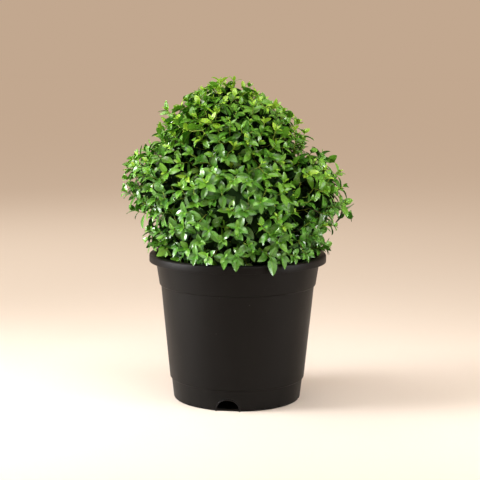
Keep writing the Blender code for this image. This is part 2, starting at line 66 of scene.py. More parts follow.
# Studio
FLOOR_RADIUS = 30.0
FLOOR_COLOUR = (0.731, 0.669, 0.598, 1.0)
WORLD_COLOUR = (0.54, 0.39, 0.275, 1.0)
WARM_WHITE = (1.0, 0.97, 0.93)
COOL_WHITE = (0.97, 0.97, 1.0)
SUN_POWER = 0.80
SUN_ANGLE = radians(30)
SUN_WAY = Vector((0.62, -0.05, -0.78))
LIGHTS = (  # name, place, height faced, width and height, power, colour, spread in degrees
    ("key", (-1.6, -0.5, 1.8), 0.25, (0.5, 0.5), 13.0, (1.0, 0.98, 0.94), 180),
    ("front", (1.1, -1.9, 1.6), 0.30, (0.9, 0.9), 6.0, WARM_WHITE, 180),
    ("sky", (0.1, -0.75, 1.9), 0.30, (1.4, 1.0), 15.0, (0.92, 0.97, 1.0), 180),
    ("back", (-0.9, 1.6, 1.6), 0.30, (0.8, 0.8), 8.0, (1.0, 0.97, 0.90), 180),
    ("left_strip", (-1.5, -0.25, 0.38), 0.0, (0.7, 0.2), 4.0, COOL_WHITE, 50),
    ("right_strip", (1.4, -0.55, 0.38), 0.0, (0.5, 0.2), 1.4, COOL_WHITE, 50),
)

# Pot
POT_STEPS = 240
POT_HEIGHT = 0.207
WALL = 0.0022
FLOOR = 0.0025
RIM_RADIUS = 0.125
RIM_HEIGHT = 0.0108
RIM_TOP_WIDTH = 0.0086
RIM_ROUND = 0.0026
NECK_RADIUS = 0.1162
SHOULDER_RADIUS = 0.1107
SHOULDER_Z = 0.164
SHOULDER_STEP = 0.0022
ANKLE_RADIUS = 0.0956
ANKLE_Z = 0.0307
ANKLE_STEP = 0.0022
STEP_DROP = 0.0014
BASE_RADIUS = 0.0900
FOOT_ROUND = 0.0022
STEP_ROUND = 0.0007
INNER_ROUND = 0.0010
NECK_ROUND = 0.0008
RIM_EDGE_ROUND = 0.0006
RIM_FOLD_ROUND = 0.0004
INNER_LIFT = 0.001
CORNER_STEPS = 4

# Drain arches and foot notches
ARCH_COUNT = 3
ARCH_TURN = radians(-7.8)
ARCH_HALF_WIDTH = 0.0158
ARCH_HEIGHT = 0.0162
ARCH_SQUARENESS = 2.2
ARCH_INNER_RADIUS = 0.0868
ARCH_STEPS = 28
LIP_RADIUS = 0.0011
LIP_SEAT = 0.6  # of its radius, from the arch's edge to the bead's middle
LIP_SIDES = 8
NOTCHES = ((31, 0.0060), (47, 0.0066), (84, 0.0090), (98, 0.0125))  # degrees from an arch, width
NOTCH_HEIGHT = 0.0036
NOTCH_INNER_RADIUS = 0.0881
CUTTER_REACH = 0.01

# Potting mix
CLEARANCE = 0.0003
MIX_TOP = 0.186
MIX_BOTTOM = 0.045
MIX_BOTTOM_RADIUS = 0.086
MIX_FALL = 0.003
MIX_FLAT_RADIUS = 0.045
MIX_FALL_WIDTH = 0.065
MIX_GAP = 0.0012  # between the mix and the wall
MIX_INSET = 0.0035
MIX_RINGS = 40
MIX_STEPS = 160
MIX_LUMP = 0.0022
MIX_LUMPS_PER_METRE = 90.0
CHIP_COUNT = 1500
CHIP_AREA_RADIUS = 0.1045
CHIP_SIZES = (0.0012, 0.0042)
CHIP_WIDTHS = (0.4, 0.8)  # in shares of the length, as the heights are
CHIP_HEIGHTS = (0.2, 0.4)
CHIP_TILT = 0.5
CHIP_LIFT = 0.12
CUBE_CORNERS = [(x, y, z) for z in (-1, 1) for x, y in ((-1, -1), (1, -1), (1, 1), (-1, 1))]
CUBE_FACES = ((0, 3, 2, 1), (4, 5, 6, 7), (0, 1, 5, 4), (1, 2, 6, 5), (2, 3, 7, 6), (3, 0, 4, 7))

# Trunk and boughs
TRUNK_FOOT = Vector((0.004, 0.003, MIX_TOP + CLEARANCE))
TRUNK_TIP = Vector((-0.015, 0.001, 0.350))
TRUNK_BEND = 0.007
TRUNK_FOOT_RADIUS = 0.0088
TRUNK_TIP_RADIUS = 0.0040
TRUNK_SIDES = 48
TRUNK_RINGS = 90
TRUNK_RING_POWER = 1.4  # closes the rings up towards the flare
TRUNK_SEGMENTS = 8
ROOT_FLARE = 0.0068
ROOT_FLARE_HEIGHT = 0.011
ROOT_LOBES = 5
ROOT_LOBE_DEPTH = 0.32
BOUGH_FOOT_RADIUS = 0.0041
BOUGH_TIP_RADIUS = 0.0023
BOUGH_COLLAR = 0.0012
BOUGH_COLLAR_LENGTH = 0.22
BOUGH_SIDES = 18
BOUGH_RINGS = 28
BOUGH_REACH = 0.046
BOUGH_ARCH = 0.004
BARK_DEPTH = 0.00045
BARK_ROUND_SCALE = 4.0
BARK_LONG_SCALE = 26.0
LIMB_MARGIN = 0.0008

# Crown: the outline is the union of these ellipsoids, each a centre and its half-sizes
CROWN_MIDDLE = Vector((-0.002, 0.0, 0.295))
LOBES = [(Vector(middle), Vector(half)) for middle, half in (
    ((-0.0225, 0.0, 0.4137), (0.046, 0.054, 0.0455)),  # peak
    ((-0.012, 0.0, 0.353), (0.111, 0.108, 0.092)),  # dome
    ((-0.094, -0.006, 0.308), (0.072, 0.084, 0.060)),  # left
    ((0.088, -0.008, 0.290), (0.0705, 0.084, 0.070)),  # right
    ((0.004, -0.064, 0.282), (0.104, 0.082, 0.078)),  # front
    ((-0.008, 0.068, 0.290), (0.104, 0.080, 0.082)),  # back
    ((-0.002, 0.0, 0.230), (0.132, 0.134, 0.078)),  # skirt
)]
MARCH_STEP = 0.001
CROWN_REACH = 0.24
OUTLINE_SLACK = 0.005
STRAY_SLACK = 0.014
INNER_SLACK = -0.011
HOLLOWS = (  # x, z and radius of the places in front where the crown falls back
    (-0.022, 0.270, 0.020), (-0.017, 0.246, 0.010), (0.003, 0.353, 0.015),
    (0.022, 0.337, 0.010), (-0.034, 0.347, 0.011), (-0.063, 0.336, 0.011),
    (-0.051, 0.290, 0.011), (0.086, 0.306, 0.011), (0.081, 0.271, 0.010),
)
HOLLOW_DEPTH = 0.024
HOLLOW_BACK = -0.03  # hollows lie only in front of this
STRAYS = (  # x and z of the tips that stand out of the outline, left and right
    (0.0149, 0.4475), (-0.0068, 0.4545), (-0.0276, 0.4545), (-0.0416, 0.4461), (0.0377, 0.4240),
    (0.0520, 0.4185), (0.0650, 0.4115), (0.0750, 0.4040),
    (-0.0639, 0.4337), (-0.0750, 0.4254), (-0.1038, 0.4116), (0.0867, 0.3949), (0.0975, 0.3806),
    (-0.1449, 0.3480), (-0.1525, 0.3415), (-0.1615, 0.3240), (-0.1640, 0.2920), (-0.1530, 0.2650),
    (-0.1300, 0.2390), (-0.1310, 0.2250), (0.1069, 0.3545), (0.1224, 0.3489), (0.1351, 0.3390),
    (0.1455, 0.3250), (0.1480, 0.2990), (0.1620, 0.2615), (0.1400, 0.2470), (0.1280, 0.2170),
)
STRAY_PLACES = (-0.03, 0.01)
STRAY_LIFT = 0.5
STRAY_DEPTH = 0.006  # how far inside its leaves' reach a shoot ends

# Masses of foliage: where each has its middle, and the height at which its bough leaves the trunk
MASSES = {
    "top": ((-0.018, 0.000, 0.404), None),
    "upper_front": ((-0.014, -0.084, 0.352), 0.312),
    "upper_back": ((-0.012, 0.084, 0.354), 0.318),
    "left": ((-0.112, -0.006, 0.308), 0.284),
    "right": ((0.108, -0.006, 0.290), 0.272),
    "front_left": ((-0.058, -0.096, 0.268), 0.246),
    "front_right": ((0.054, -0.098, 0.264), 0.238),
    "back_left": ((-0.060, 0.094, 0.272), 0.254),
    "back_right": ((0.056, 0.094, 0.268), 0.230),
    "lower_left": ((-0.108, 0.002, 0.234), 0.222),
    "lower_right": ((0.106, 0.000, 0.232), 0.214),
}

# Shoots
SEED = 29
SHOOT_SPACING = 0.0182
SHOOT_TRIALS = 9000
SHOOT_DEPTHS = (0.005, 0.013)
CLUMP_SIZE = 0.034  # the crown swells and sinks in clumps of about this size
CLUMP_DEPTH = 0.012
CLUMP_LEVEL = 0.35
CLUMP_SWING = 1.6
# Towards the top, from a height and over a rise, the clumps get shallower and shoots stand closer
TOP_SINK_CUT = (0.33, 0.08, 0.6)
TOP_CLOSER = (0.31, 0.10, 0.22)
TIP_LEANS = (0.55, 1.25)
TIP_LEAN_RISE = 0.05
TIP_JITTER = 0.28
INNER_LAYERS = (  # spacing, trials and depths of the shoots inside
    (0.0165, 6000, (0.026, 0.042)),
    (0.0200, 4000, (0.050, 0.074)),
)
LOWEST_TIP = 0.2050
RIM_HANGERS = (  # leaves that hang over the rim in front: turn from the front in degrees, length
    (-27, 0.0125), (-19, 0.0120), (-8, 0.0165), (-1, 0.0190),
    (21, 0.0255), (29, 0.0180), (38, 0.0130), (49, 0.0130),
)
RIM_COUNT = 34
RIM_GAP = (radians(-68), radians(-30))  # turns between which no shoot reaches the rim
RIM_TIP_RADIUS = 0.1150
RIM_TIP_RISE = 0.0100
RIM_TIP_SPACING = 0.013
HANG_RADIUS = 0.1232
HANG_RISE = 0.0112
HANG_LIFT = 0.15
HANG_SHARE = 0.3
HANG_LENGTHS = (0.014, 0.020)
STEM_LENGTH = 0.014
STEM_SINK = 0.003
BALANCE = 0.45  # how much the way back to the bough counts
PATH_STEP = 0.007
TIP_RADIUS = 0.0005
PIPE_POWER = 0.36
GREEN_LENGTH = 0.024
TWIG_SIDES = 6

# Leaves, from a shoot's tip backwards: distance from the tip, length, degrees
PAIRS = (
    (0.0004, 0.0085, 22), (0.0022, 0.0140, 40), (0.0070, 0.0190, 56), (0.0150, 0.0220, 65),
    (0.0250, 0.0230, 70), (0.0360, 0.0222, 74),
)
INNER_PAIRS = (
    (0.0010, 0.0190, 45), (0.0080, 0.0220, 65), (0.0180, 0.0220, 75), (0.0290, 0.0220, 75),
)
RIM_PAIRS = (
    (0.0006, 0.0110, 36), (0.0028, 0.0160, 58), (0.0090, 0.0175, 66), (0.0170, 0.0175, 72),
)
SHOOT_KINDS = {  # each kind's leaves, and how far out of the crown's outline they may reach
    "outer": (PAIRS, OUTLINE_SLACK),
    "stray": (PAIRS, STRAY_SLACK),
    "rim": (RIM_PAIRS, STRAY_SLACK),
    "inner": (INNER_PAIRS, INNER_SLACK),
}
LEAF_DROOP = 0.12
LEAF_SLIMNESS = 1.92  # length over width
LEAF_SLIMNESS_SPREAD = (0.9, 1.12)
LEAF_FORMS = {"fold": (0.22, 0.58), "cup": (0.10, 0.26), "bend": (0.20, 0.85), "twist": (-0.3, 0.3)}
LEAF_SHRINKS = (1.0, 0.8, 0.62)  # tried in turn, until the leaf fits
UPPER_PULLS = (0.75, 0.30, 0.16)  # of the sky, the way out and chance on a leaf's upper face
HANGING_BENDS = (0.15, 0.35)
STALK_SHARE = 0.05
STALK_WIDTH = 0.09
VIGOURS = (0.85, 1.18)
TONES = (-0.9, 1.9)
CROWN_MID_Z = 0.31
CROWN_HALF_RISE = 0.13
LEAST_HEIGHT = -0.7  # in shares of the half rise
TOP_VIGOUR_CUT = 0.10
AGE_LIMITS = (("young", 0.1), ("fresh", 2.2), ("mature", 4.4))  # older leaves are deep
HIGH_YOUTH_AND_LIGHT, LOW_YOUTH_AND_LIGHT = 1.9, 1.5  # how much younger and paler leaves look with the height: partly real new growth, partly painted light that makes the top of the crown lighter and its lower part darker
RIM_AGE = 0.3
LEAF_THICKNESS = 0.00028
RIB_SHARE = 0.075
# A leaf's grid: its rows along the midrib, as shares of its length, and the places across
FINE_GRID = ((0.0, 0.07, 0.24, 0.46, 0.68, 0.87), (-1.0, -0.55, -RIB_SHARE, RIB_SHARE, 0.55, 1.0))
PLAIN_GRID = ((0.0, 0.25, 0.5, 0.78), (-1.0, 0.0, 1.0))
PIECE_TRIANGLES = 190000
LEAF_GLOSS = (0.30, 0.75)  # roughness and specular level, as the two below
INNER_GLOSS = (0.70, 0.10)
RIB_GLOSS = (0.48, 0.30)

LEAF_COLOURS = {
    # young: the lime of new growth, made paler to stand also for painted light shining through the
    # leaves
    "young": (0.330, 0.590, 0.045),
    "fresh": (0.128, 0.350, 0.025),
    "mature": (0.068, 0.230, 0.019),
    "deep": (0.038, 0.145, 0.014),
    # inner: a near-black copy of the leaf green, painted shade for the leaves deep in the crown
    "inner": (0.009, 0.030, 0.005),
}
RIB_COLOURS = {
    "young": (0.330, 0.540, 0.060),
    "fresh": (0.210, 0.450, 0.055),
    "mature": (0.155, 0.370, 0.050),
    "deep": (0.100, 0.260, 0.036),
}


def part_way(value, start, length):
    """How far a value lies between start and start + length, from 0 to 1."""
    return min(1.0, max(0.0, (value - start) / length))


# ---- materials


def new_material(name):
    """A material with only its output and a Principled shader, and its tree."""
    material = bpy.data.materials.new(name)
    material.use_nodes = True
    return material, material.node_tree


def set_inputs(tree, node, inputs):
    """Gives a node's inputs these values, or links them to these outputs."""
    for name, source in inputs.items():
        if isinstance(source, bpy.types.NodeSocket):
            tree.links.new(source, node.inputs[name])
        else:
            node.inputs[name].default_value = source
    return node


def new_node(tree, kind, inputs):
    """A node of this kind with these inputs."""
    return set_inputs(tree, tree.nodes.new(f"ShaderNode{kind}"), inputs)


def dressed(material, inputs):
    """The material, with these inputs of its shader."""
    tree = material.node_tree
    set_inputs(tree, tree.nodes["Principled BSDF"], inputs)
    return material


def noise_node(tree, scale, detail, roughness=0.55, stretch=None):
    """A noise texture in the object's own coordinates."""
    source = tree.nodes.new("ShaderNodeTexCoord").outputs["Object"]
    if stretch:
        source = new_node(tree, "Mapping", {"Scale": stretch, "Vector": source}).outputs["Vector"]
    inputs = {"Scale": scale, "Detail": detail, "Roughness": roughness, "Vector": source}
    return new_node(tree, "TexNoise", inputs).outputs["Fac"]


def ramp(tree, factor, stops):
    """A colour ramp through (place, colour) stops."""
    node = new_node(tree, "ValToRGB", {"Fac": factor})
    elements = node.color_ramp.elements
    for number, (place, colour) in enumerate(stops):
        element = elements[number] if number < 2 else elements.new(place)
        element.position = place
        element.color = (*colour, 1.0)
    return node.outputs["Color"]


def spread(tree, factor, low, high):
    """The middle of a factor's range, mapped to the range low to high."""
    inputs = {"From Min": 0.3, "From Max": 0.7, "To Min": low, "To Max": high, "Value": factor}
    return new_node(tree, "MapRange", inputs).outputs["Result"]


def bump(tree, height, distance, strength, under=None):
    """A bump node, on top of another one where it is given."""
    inputs = {"Strength": strength, "Distance": distance, "Height": height}
    if under:
        inputs["Normal"] = under
    return new_node(tree, "Bump", inputs).outputs["Normal"]


def leaf_material(name, colour, roughness, specular):
    """A glossy leaf: one plain colour, with uneven gloss and fine veins in relief."""
    material, tree = new_material(name)
    gloss = noise_node(tree, 260.0, 2.0)
    veins = noise_node(tree, 900.0, 2.0)
    return dressed(material, {
        "Base Color": (*colour, 1.0),
        "Specular IOR Level": specular,
        "Roughness": spread(tree, gloss, roughness - 0.05, roughness + 0.07),
        "Normal": bump(tree, veins, 0.00012, 0.5),
    })


def pot_material():
    """Matte charcoal plastic, with a moulded grain and a few scuffs."""
    material, tree = new_material("matte_black_plastic")
    cloud = noise_node(tree, 14.0, 5.0, 0.6, (1.0, 1.0, 0.35))
    stops = [(0.30, (0.0030, 0.0027, 0.0025)), (0.72, (0.0055, 0.0050, 0.0045))]
    specks = noise_node(tree, 420.0, 2.0, 0.5)
    scuffs = [(0.74, (0.0, 0.0, 0.0)), (0.80, (0.05, 0.046, 0.042))]
    both = tree.nodes.new("ShaderNodeMix")
    both.data_type = "RGBA"
    both.blend_type = "ADD"
    looks = {"Factor": 1.0, "A": ramp(tree, cloud, stops), "B": ramp(tree, specks, scuffs)}
    set_inputs(tree, both, looks)
    sheen = noise_node(tree, 36.0, 4.0, 0.6, (1.0, 1.0, 0.25))
    waves = bump(tree, noise_node(tree, 26.0, 2.0), 0.0006, 0.35)
    grain = noise_node(tree, 1500.0, 2.0)
    return dressed(material, {
        "Base Color": both.outputs["Result"],
        "Roughness": spread(tree, sheen, 0.42, 0.50),
        "Specular IOR Level": 0.12,
        "Normal": bump(tree, grain, 0.00006, 0.5, waves),
    })


def mix_material():
    """Dark, damp bark and peat."""
    material, tree = new_material("damp_potting_mix")
    patches = noise_node(tree, 180.0, 6.0, 0.7)
    crumbs = noise_node(tree, 700.0, 5.0, 0.7)
    stops = [(0.30, (0.008, 0.005, 0.003)), (0.52, (0.030, 0.018, 0.010))]
    stops.append((0.75, (0.085, 0.052, 0.030)))
    return dressed(material, {
        "Base Color": ramp(tree, patches, stops),
        "Roughness": spread(tree, patches, 0.95, 0.75),
        "Normal": bump(tree, crumbs, 0.0012, 0.9),
    })


def bark_material():
    """Grey-brown bark with fissures along the limb."""
    material, tree = new_material("grey_brown_bark")
    fissures = noise_node(tree, 260.0, 5.0, 0.65, (1.0, 1.0, 0.22))
    stops = [(0.32, (0.055, 0.036, 0.022)), (0.68, (0.24, 0.175, 0.115))]
    return dressed(material, {
        "Base Color": ramp(tree, fissures, stops),
        "Roughness": spread(tree, fissures, 0.9, 0.72),
        "Normal": bump(tree, fissures, 0.0006, 0.7),
    })


def stem_material():
    """The smooth yellow-green skin of a young shoot."""
    material, tree = new_material("green_shoot")
    skin = noise_node(tree, 420.0, 3.0, 0.6, (1.0, 1.0, 0.3))
    return dressed(material, {
        "Base Color": (0.30, 0.40, 0.055, 1.0),
        "Roughness": spread(tree, skin, 0.42, 0.58),
        "Normal": bump(tree, skin, 0.0001, 0.5),
    })


def floor_material():
    """A plain pale floor."""
    material, tree = new_material("pale_floor")
    return dressed(material, {
        "Base Color": FLOOR_COLOUR,
        "Specular IOR Level": 0.0,
        "Roughness": spread(tree, noise_node(tree, 3.0, 3.0), 0.70, 0.80),
    })


# ---- meshes


def new_object(name, data):
    """An object in the scene."""
    thing = bpy.data.objects.new(name, data)
    bpy.context.scene.collection.objects.link(thing)
    return thing


def smooth(mesh, sharp_degrees):
    """Shades a mesh smooth, apart from the edges sharper than this."""
    mesh.shade_smooth()
    mesh.set_sharp_from_angle(angle=radians(sharp_degrees))


def new_piece(name, points, faces, materials, slots=None, sharp_degrees=50.0):
    """A smooth-shaded mesh object from points and faces."""
    mesh = bpy.data.meshes.new(name)
    mesh.from_pydata(points, [], faces)
    for material in materials:
        mesh.materials.append(material)
    if slots is not None:
        mesh.polygons.foreach_set("material_index", slots)
    smooth(mesh, sharp_degrees)
    return new_object(name, mesh)


def place_piece(piece, slot, *nodes):
    """Makes a piece ride on the plant's body and stand for these nodes."""
    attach(piece, BODY)
    if nodes:
        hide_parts(*nodes)


def rounded(corners):
    """The points of an (r, z) outline whose corners, each with a radius, are turned into arcs."""
    points = []
    for number, (place, radius) in enumerate(corners):
        here = Vector(place)
        if radius == 0 or number in (0, len(corners) - 1):
            points.append(here)
            continue
        before = (Vector(corners[number - 1][0]) - here).normalized()
        after = (Vector(corners[number + 1][0]) - here).normalized()
        half = before.angle(after) / 2
        back = radius / tan(half)
        centre = here + (before + after).normalized() * radius / sin(half)
        start = here + back * before - centre
        end = here + back * after - centre
        sweep = start.angle_signed(end)
        for step in range(CORNER_STEPS + 1):
            turn = Matrix.Rotation(-sweep * step / CORNER_STEPS, 2)
            points.append(centre + turn @ start)
    return points


def turned_faces(steps, count):
    """Faces round Z, between steps columns of count points each, after a first and a last point."""
    faces = []
    for step in range(steps):
        here = 2 + step * count
        there = 2 + (step + 1) % steps * count
        faces.append((0, here, there))
        faces += [(here + n, here + n + 1, there + n + 1, there + n) for n in range(count - 1)]
        faces.append((1, there + count - 1, here + count - 1))
    return faces


def lathe(profile, steps):
    """Points and faces of a profile turned about Z, whose first and last points are on the axis."""
    inner = profile[1:-1]
    points = [(0.0, 0.0, profile[0][1]), (0.0, 0.0, profile[-1][1])]
    for step in range(steps):
        turn = tau * step / steps
        points += [(r * cos(turn), r * sin(turn), z) for r, z in inner]
    return points, turned_faces(steps, len(inner))


def ring_faces(rings, sides):
    """Faces of a closed tube of this many rings of points."""
    faces = [tuple(reversed(range(sides)))]
    for ring in range(rings - 1):
        low, high = ring * sides, (ring + 1) * sides
        for step in range(sides):
            after = (step + 1) % sides
            faces.append((low + step, low + after, high + after, high + step))
    faces.append(tuple(range((rings - 1) * sides, rings * sides)))
    return faces


def tube(path, radii, sides):
    """Points and faces of a closed tube along a path, with a radius at each of its points."""
    points = []
    side = (path[1] - path[0]).orthogonal().normalized()
    for number, (middle, radius) in enumerate(zip(path, radii)):
        ahead = path[min(number + 1, len(path) - 1)] - path[max(number - 1, 0)]
        ahead.normalize()
        side = (side - side.dot(ahead) * ahead).normalized()
        across = ahead.cross(side)
        for step in range(sides):
            angle = tau * step / sides
            points.append(middle + radius * (cos(angle) * side + sin(angle) * across))
    return points, ring_faces(len(path), sides)


def joined(parts):
    """Several (points, faces) as one."""
    points, faces = [], []
    for own_points, own_faces in parts:
        start = len(points)
        points += own_points
        faces += [tuple(corner + start for corner in face) for face in own_faces]
    return points, faces


def boolean_cut(piece, cutter):
    """Cuts a piece and removes the cutter."""
    cut = piece.modifiers.new("cut", "BOOLEAN")
    cut.operation = "DIFFERENCE"
    cut.solver = "EXACT"
    cut.object = cutter
    graph = bpy.context.evaluated_depsgraph_get()
    mesh = bpy.data.meshes.new_from_object(piece.evaluated_get(graph))
    piece.modifiers.clear()
    piece.data = mesh
    bpy.data.objects.remove(cutter)


# ---- pot


def pot_corners():
    """The pot's section, from its floor's middle over the rim to its foot, with corner radii."""
    corner = BASE_RADIUS - WALL
    inner = RIM_RADIUS - RIM_TOP_WIDTH
    bottom = POT_HEIGHT - RIM_HEIGHT
    fold = POT_HEIGHT - WALL
    steps = [
        ((SHOULDER_RADIUS, SHOULDER_Z), STEP_ROUND),
        ((SHOULDER_RADIUS - SHOULDER_STEP, SHOULDER_Z - STEP_DROP), STEP_ROUND),
        ((ANKLE_RADIUS, ANKLE_Z), STEP_ROUND),
        ((ANKLE_RADIUS - ANKLE_STEP, ANKLE_Z - STEP_DROP), STEP_ROUND),
    ]
    inside = [((r - WALL, z + INNER_LIFT), radius) for (r, z), radius in reversed(steps)]
    rim = [
        ((NECK_RADIUS - WALL, POT_HEIGHT - 0.75 * RIM_HEIGHT), INNER_ROUND),
        ((inner, POT_HEIGHT), INNER_ROUND),
        ((RIM_RADIUS, POT_HEIGHT), RIM_ROUND),
        ((RIM_RADIUS, bottom), RIM_EDGE_ROUND),
        ((RIM_RADIUS - WALL, bottom), RIM_FOLD_ROUND),
        ((RIM_RADIUS - WALL, fold), RIM_FOLD_ROUND),
        ((NECK_RADIUS + 2 * WALL, fold), NECK_ROUND),
        ((NECK_RADIUS, fold - 2.2 * WALL), INNER_ROUND),
    ]
    foot = [((BASE_RADIUS, 0.0), FOOT_ROUND), ((0.0, 0.0), 0.0)]
    return [((0.0, FLOOR), 0.0), ((corner, FLOOR), INNER_ROUND), *inside, *rim, *steps, *foot]


def arch_outline(margin):
    """The arch's outline in its own plane, from its right foot over the top to its left foot."""
    power = 2.0 / ARCH_SQUARENESS
    outline = []
    for step in range(ARCH_STEPS + 1):
        angle = pi * step / ARCH_STEPS
        across = copysign(abs(cos(angle)) ** power, cos(angle))
        up = abs(sin(angle)) ** power
        outline.append(((ARCH_HALF_WIDTH + margin) * across, (ARCH_HEIGHT + margin) * up))
    return outline


def arch_cutter(turn):
    """A squarish arch along the pot's radius, whose lower half is under the ground."""
    upper = arch_outline(0.0)
    outline = upper + [(x, -z) for x, z in reversed(upper[1:-1])]
    near, far = -(BASE_RADIUS + CUTTER_REACH), -ARCH_INNER_RADIUS
    points = [(x, y, z) for y in (near, far) for x, z in outline]
    count = len(outline)
    faces = [tuple(range(count)), tuple(reversed(range(count, 2 * count)))]
    for step in range(count):
        after = (step + 1) % count
        faces.append((step, count + step, count + after, after))
    cutter = new_piece("arch_cutter", points, faces, [])
    cutter.data.transform(Matrix.Rotation(turn, 4, "Z"))
    return cutter


def notch_cutter(turn, width):
    """A low box that nicks the foot's outer edge."""
    build = bmesh.new()
    bmesh.ops.create_cube(build, size=1.0)
    bmesh.ops.scale(build, vec=(width, CUTTER_REACH, 2 * NOTCH_HEIGHT), verts=build.verts)
    middle = (0, -(NOTCH_INNER_RADIUS + CUTTER_REACH / 2), 0)
    bmesh.ops.translate(build, vec=middle, verts=build.verts)
    mesh = bpy.data.meshes.new("notch")
    build.to_mesh(mesh)
    build.free()
    mesh.transform(Matrix.Rotation(turn, 4, "Z"))
    return new_object("notch_cutter", mesh)


def wall_radius(height):
    """The radius of the foot band's outer wall at a height."""
    top = ANKLE_Z - STEP_DROP
    return BASE_RADIUS + (ANKLE_RADIUS - ANKLE_STEP - BASE_RADIUS) * height / top


def arch_lip(turn):
    """The moulded bead round an arch, sunk by half in the wall."""
    path = []
    for x, z in arch_outline(LIP_RADIUS * LIP_SEAT):
        radius = wall_radius(z)
        path.append(Vector((x, -sqrt(radius * radius - x * x), z)))
    path = [Matrix.Rotation(turn, 3, "Z") @ point for point in path]
    return tube(path, [LIP_RADIUS] * len(path), LIP_SIDES)


def make_pot():
    """The moulded pot with its drain arches, their beads and the foot's notches."""
    plastic = pot_material()
    profile = rounded(pot_corners())
    points, faces = lathe([tuple(point) for point in profile], POT_STEPS)
    pot = new_piece("pot_shell", points, faces, [plastic])
    lips = []
    for number in range(ARCH_COUNT):
        turn = ARCH_TURN + number * tau / ARCH_COUNT
        boolean_cut(pot, arch_cutter(turn))
        lips.append(arch_lip(turn))
        for degrees, width in NOTCHES:
            boolean_cut(pot, notch_cutter(turn + radians(degrees), width))
    smooth(pot.data, 35.0)
    place_piece(pot, "pot_plastic", "pot")
    place_piece(new_piece("pot_arch_beads", *joined(lips), [plastic]), "pot_plastic")


# ---- potting mix


def mix_height(x, y):
    """The lumpy top of the mix: flat in the middle and lower near the wall."""
    radius = hypot(x, y)
    slope = MIX_FALL * max(0.0, (radius - MIX_FLAT_RADIUS) / MIX_FALL_WIDTH)
    lumps = noise.fractal(Vector((x, y, 0.0)) * MIX_LUMPS_PER_METRE, 0.9, 2.0, 4)
    return MIX_TOP - slope - MIX_LUMP * (0.5 - 0.5 * lumps)


def make_mix():
    """The potting mix, filling the pot, with chips of bark lying on it."""
    edge = NECK_RADIUS - WALL - MIX_GAP
    points = [(0.0, 0.0, mix_height(0.0, 0.0)), (0.0, 0.0, MIX_BOTTOM)]
    for step in range(MIX_STEPS):
        turn = tau * step / MIX_STEPS
        for ring in range(1, MIX_RINGS + 1):
            radius = (edge - MIX_INSET) * ring / MIX_RINGS
            x, y = radius * cos(turn), radius * sin(turn)
            points.append((x, y, mix_height(x, y)))
        low = MIX_BOTTOM_RADIUS
        points.append((low * cos(turn), low * sin(turn), MIX_BOTTOM))
    faces = turned_faces(MIX_STEPS, MIX_RINGS + 1)
    soil = mix_material()
    place_piece(new_piece("mix_bed", points, faces, [soil]), "potting_mix", "potting_mix")
    place_piece(make_chips(soil), "potting_mix")


def make_chips(material):
    """Small angular chips, strewn over the mix."""
    chance = random.Random(SEED + 1)
    parts = []
    for _ in range(CHIP_COUNT):
        turn = chance.uniform(0, tau)
        radius = CHIP_AREA_RADIUS * sqrt(chance.uniform(0.01, 1.0))
        x, y = radius * cos(turn), radius * sin(turn)
        size = chance.uniform(*CHIP_SIZES)
        lean = Matrix.Rotation(chance.uniform(-CHIP_TILT, CHIP_TILT), 3, "X")
        tilt = lean @ Matrix.Rotation(turn * 7, 3, "Z")
        centre = Vector((x, y, mix_height(x, y) + CHIP_LIFT * size))
        width = size * chance.uniform(*CHIP_WIDTHS)
        height = size * chance.uniform(*CHIP_HEIGHTS)
        corners = []
        for sx, sy, sz in CUBE_CORNERS:
            shrink = chance.uniform(0.6, 1.0)
            corner = Vector((sx * size, sy * width, sz * height)) * 0.5 * shrink
            corners.append(centre + tilt @ corner)
        parts.append((corners, CUBE_FACES))
    return new_piece("mix_chips", *joined(parts), [material], sharp_degrees=20.0)


# ---- trunk and boughs


def trunk_point(share):
    """A point of the trunk's axis, from its foot at 0 to its tip at 1."""
    point = TRUNK_FOOT.lerp(TRUNK_TIP, share)
    point.x += TRUNK_BEND * sin(tau * share) * (1 - share)
    point.y += TRUNK_BEND * sin(pi * share)
    return point


def trunk_share(height):
    """The place along the trunk that lies at this height."""
    return (height - TRUNK_FOOT.z) / (TRUNK_TIP.z - TRUNK_FOOT.z)


def trunk_radius(share, angle=0.0):
    """The trunk's radius, with its lobed root flare near the foot."""
    rise = share * (TRUNK_TIP.z - TRUNK_FOOT.z)
    flare = ROOT_FLARE * exp(-rise / ROOT_FLARE_HEIGHT)
    flare *= 1 + ROOT_LOBE_DEPTH * cos(ROOT_LOBES * angle)
    return TRUNK_FOOT_RADIUS + (TRUNK_TIP_RADIUS - TRUNK_FOOT_RADIUS) * share + flare


def bough_path(mass, count=4):
    """Points of the bough that carries a mass, from the trunk's axis to its tip."""
    anchor, height = MASSES[mass]
    start = trunk_point(trunk_share(height))
    way = Vector(anchor) - start
    level = Vector((way.x, way.y, 0.0))
    end = start + way * (BOUGH_REACH / level.length)
    points = []
    for number in range(count):
        share = number / (count - 1)
        point = start.lerp(end, share)
        point.z -= BOUGH_ARCH * sin(pi * share)
        points.append(point)
    return points


def bough_radius(share):
    """A bough's radius, with a small collar where it leaves the trunk."""
    taper = BOUGH_FOOT_RADIUS + (BOUGH_TIP_RADIUS - BOUGH_FOOT_RADIUS) * share
    return taper + BOUGH_COLLAR * exp(-share / BOUGH_COLLAR_LENGTH)


def with_bark(points, middles, sides):
    """Rings of points pushed in and out by bark fissures that run along the limb."""
    rough = []
    for number, point in enumerate(points):
        middle = middles[number // sides]
        out = (point - middle).normalized()
        place = Vector((
            out.x * BARK_ROUND_SCALE,
            out.y * BARK_ROUND_SCALE,
            out.z * BARK_ROUND_SCALE + BARK_LONG_SCALE * middle.length,
        ))
        fissure = abs(noise.noise(place)) + 0.5 * noise.noise(place * 2.3)
        rough.append(point + BARK_DEPTH * (fissure - 0.35) * out)
    return rough


